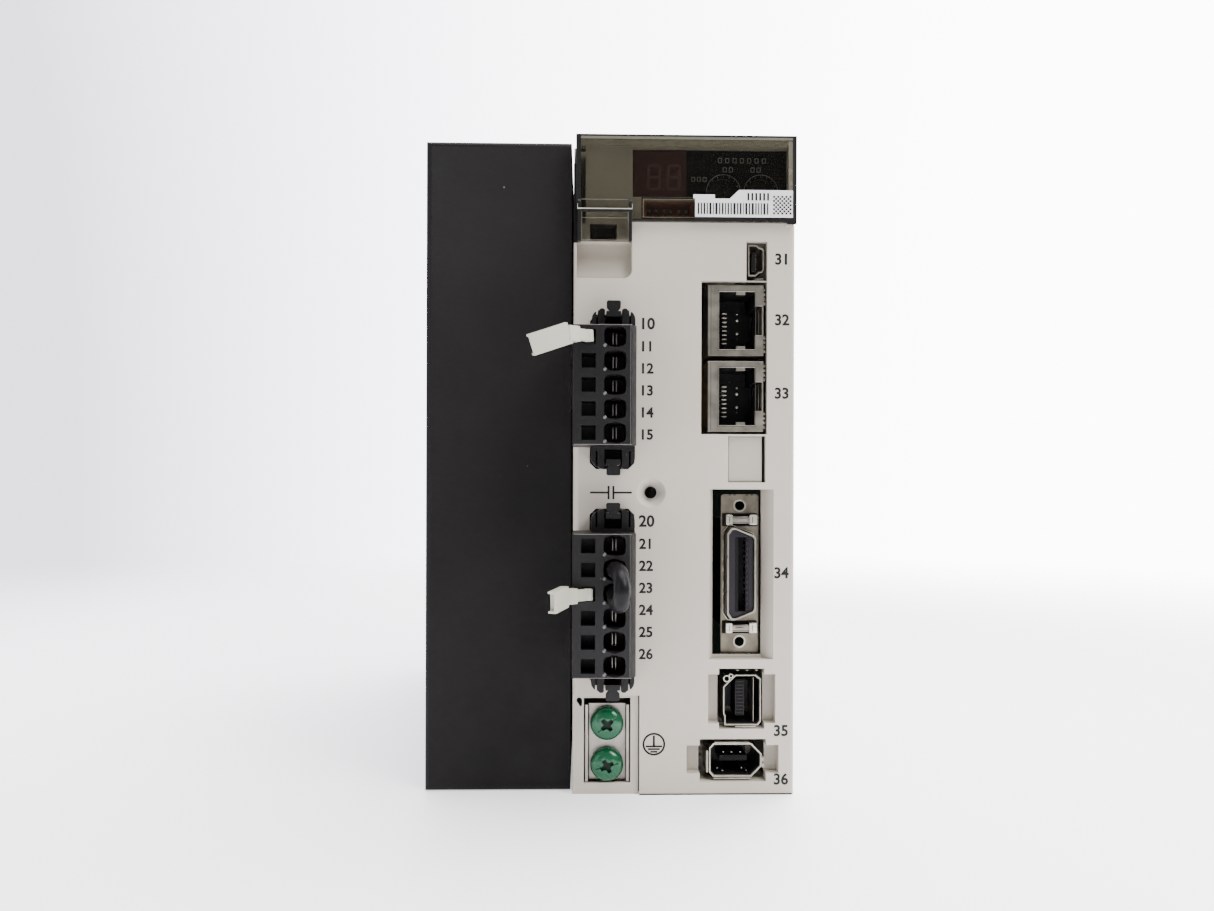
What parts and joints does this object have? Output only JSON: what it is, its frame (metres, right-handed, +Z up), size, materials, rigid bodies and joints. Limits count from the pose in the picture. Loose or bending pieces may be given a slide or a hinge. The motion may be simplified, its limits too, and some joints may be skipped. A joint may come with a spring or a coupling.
{
  "type": "servo drive",
  "caption": "Book-shaped servo drive: black metal side cover, cream front with pluggable terminals, port column, flip-up display cover and earth terminal.",
  "frame": {"origin": "middle of the flat bottom face that the drive stands on", "axes": "+Z up, -Y towards the front with the ports and plugs, +X to the right seen from the front"},
  "size_m": [0.085, 0.2002, 0.1512],
  "materials": {
    "cast_frame": "satin, as cast",
    "black_sheet": "matte black powder coat",
    "cream_plastic": "satin moulded",
    "blank_plastic": "satin moulded",
    "raw_aluminium": "extruded",
    "black_plastic": "satin moulded",
    "circuit_board": "solder mask",
    "steel_zinc": "zinc plated",
    "nickel_shell": "nickel plated",
    "gold_contact": "gold plated",
    "smoked_cover": "smoked, clear",
    "paper_label": "printed film",
    "display_face": "smooth",
    "lamp_lens": "frosted",
    "dial_plastic": "moulded",
    "brown_plastic": "moulded",
    "slate_plastic": "moulded",
    "green_screw": "green passivated, glossy",
    "lever_nylon": "satin nylon",
    "wire_jacket": "PVC",
    "can_sleeve": "shrink sleeve",
    "winding_tape": "polyester tape",
    "ribbon_grey": "ribbon cable"
  },
  "bodies": {
    "housing": {"rear_frame": "cast_frame", "side_cover": "black_sheet", "case_shell": "cream_plastic", "front_panel": "cream_plastic", "heat_sink": "raw_aluminium", "power_module": "black_plastic", "power_board": "circuit_board", "control_board": "circuit_board", "board_screws": "steel_zinc", "board_link": "ribbon_grey", "bus_capacitors": "can_sleeve", "relay": "black_plastic", "transformer": "winding_tape", "regen_resistor": "raw_aluminium", "fan_frame": "black_plastic", "fan_screws": "black_sheet", "case_screws": "steel_zinc", "display_plate": "display_face", "display_board": "circuit_board", "digit_module": "display_face", "status_lamps": "lamp_lens", "rotary_bodies": "black_plastic", "monitor_socket": "brown_plastic", "monitor_pins": "gold_contact", "usb_shell": "nickel_shell", "usb_insert": "black_plastic", "network_shells": "nickel_shell", "network_inserts": "black_plastic", "network_contacts": "gold_contact", "blank_plate": "blank_plastic", "io_flange": "nickel_shell", "io_shell": "nickel_shell", "io_insert": "slate_plastic", "io_contacts": "gold_contact", "io_latches": "nickel_shell", "scale_shell": "nickel_shell", "scale_insert": "black_plastic", "encoder_shell": "nickel_shell", "encoder_insert": "black_plastic", "charge_lamp": "lamp_lens", "earth_plate": "steel_zinc", "earth_screws": "green_screw", "plug_headers": "black_plastic", "header_pins": "steel_zinc"},
    "display_cover": {"display_cover": "smoked_cover", "cover_label": "paper_label"},
    "mains_plug": {"mains_plug": "black_plastic", "mains_clamps": "steel_zinc"},
    "mains_latch_top": {"mains_latch_top": "black_plastic"},
    "mains_latch_bottom": {"mains_latch_bottom": "black_plastic"},
    "mains_lever": {"mains_lever": "lever_nylon"},
    "motor_plug": {"motor_plug": "black_plastic", "motor_clamps": "steel_zinc", "jumper_wire": "wire_jacket"},
    "motor_latch_top": {"motor_latch_top": "black_plastic"},
    "motor_latch_bottom": {"motor_latch_bottom": "black_plastic"},
    "motor_lever": {"motor_lever": "lever_nylon"},
    "rotary_dial_1": {"rotary_dial_1": "dial_plastic"},
    "rotary_dial_2": {"rotary_dial_2": "dial_plastic"},
    "fan_rotor": {"fan_rotor": "black_plastic"}
  },
  "joints": [
    {"name": "cover_hinge", "type": "hinge", "parent": "housing", "child": "display_cover", "pos_m": [0.0173, -0.0795, 0.1483], "axis": [-1, 0, 0], "range_deg": [0, 95]},
    {"name": "dial_1_turn", "type": "hinge", "parent": "housing", "child": "rotary_dial_1", "pos_m": [0.0258, -0.082, 0.1379], "axis": [0, 1, 0], "continuous": true},
    {"name": "dial_2_turn", "type": "hinge", "parent": "housing", "child": "rotary_dial_2", "pos_m": [0.0344, -0.082, 0.1379], "axis": [0, 1, 0], "continuous": true},
    {"name": "fan_spin", "type": "hinge", "parent": "housing", "child": "fan_rotor", "pos_m": [-0.0206, 0.04, 0.14], "axis": [0, 0, 1], "continuous": true},
    {"name": "mains_plug_slide", "type": "slide", "parent": "housing", "child": "mains_plug", "axis": [0, -1, 0], "range_m": [0, 0.025]},
    {"name": "mains_latch_top_press", "type": "hinge", "parent": "mains_plug", "child": "mains_latch_top", "pos_m": [0.0005, -0.0848, 0.10815], "axis": [1, 0, 0], "range_deg": [0, 8], "stiffness_Nm_per_rad": 0.02},
    {"name": "mains_latch_bottom_press", "type": "hinge", "parent": "mains_plug", "child": "mains_latch_bottom", "pos_m": [0.0005, -0.0848, 0.07575], "axis": [-1, 0, 0], "range_deg": [0, 8], "stiffness_Nm_per_rad": 0.02},
    {"name": "mains_lever_press", "type": "hinge", "parent": "mains_plug", "child": "mains_lever", "pos_m": [-0.005, -0.1026, 0.10211], "axis": [-0.0523, 0, 0.9986], "range_deg": [-28, 24]},
    {"name": "motor_plug_slide", "type": "slide", "parent": "housing", "child": "motor_plug", "axis": [0, -1, 0], "range_m": [0, 0.025]},
    {"name": "motor_latch_top_press", "type": "hinge", "parent": "motor_plug", "child": "motor_latch_top", "pos_m": [0.0005, -0.0848, 0.06394], "axis": [1, 0, 0], "range_deg": [0, 8], "stiffness_Nm_per_rad": 0.02},
    {"name": "motor_latch_bottom_press", "type": "hinge", "parent": "motor_plug", "child": "motor_latch_bottom", "pos_m": [0.0005, -0.0848, 0.02646], "axis": [-1, 0, 0], "range_deg": [0, 8], "stiffness_Nm_per_rad": 0.02},
    {"name": "motor_lever_press", "type": "hinge", "parent": "motor_plug", "child": "motor_lever", "pos_m": [-0.005, -0.1026, 0.04774], "axis": [0, 0, 1], "range_deg": [-22, 30]}
  ]
}
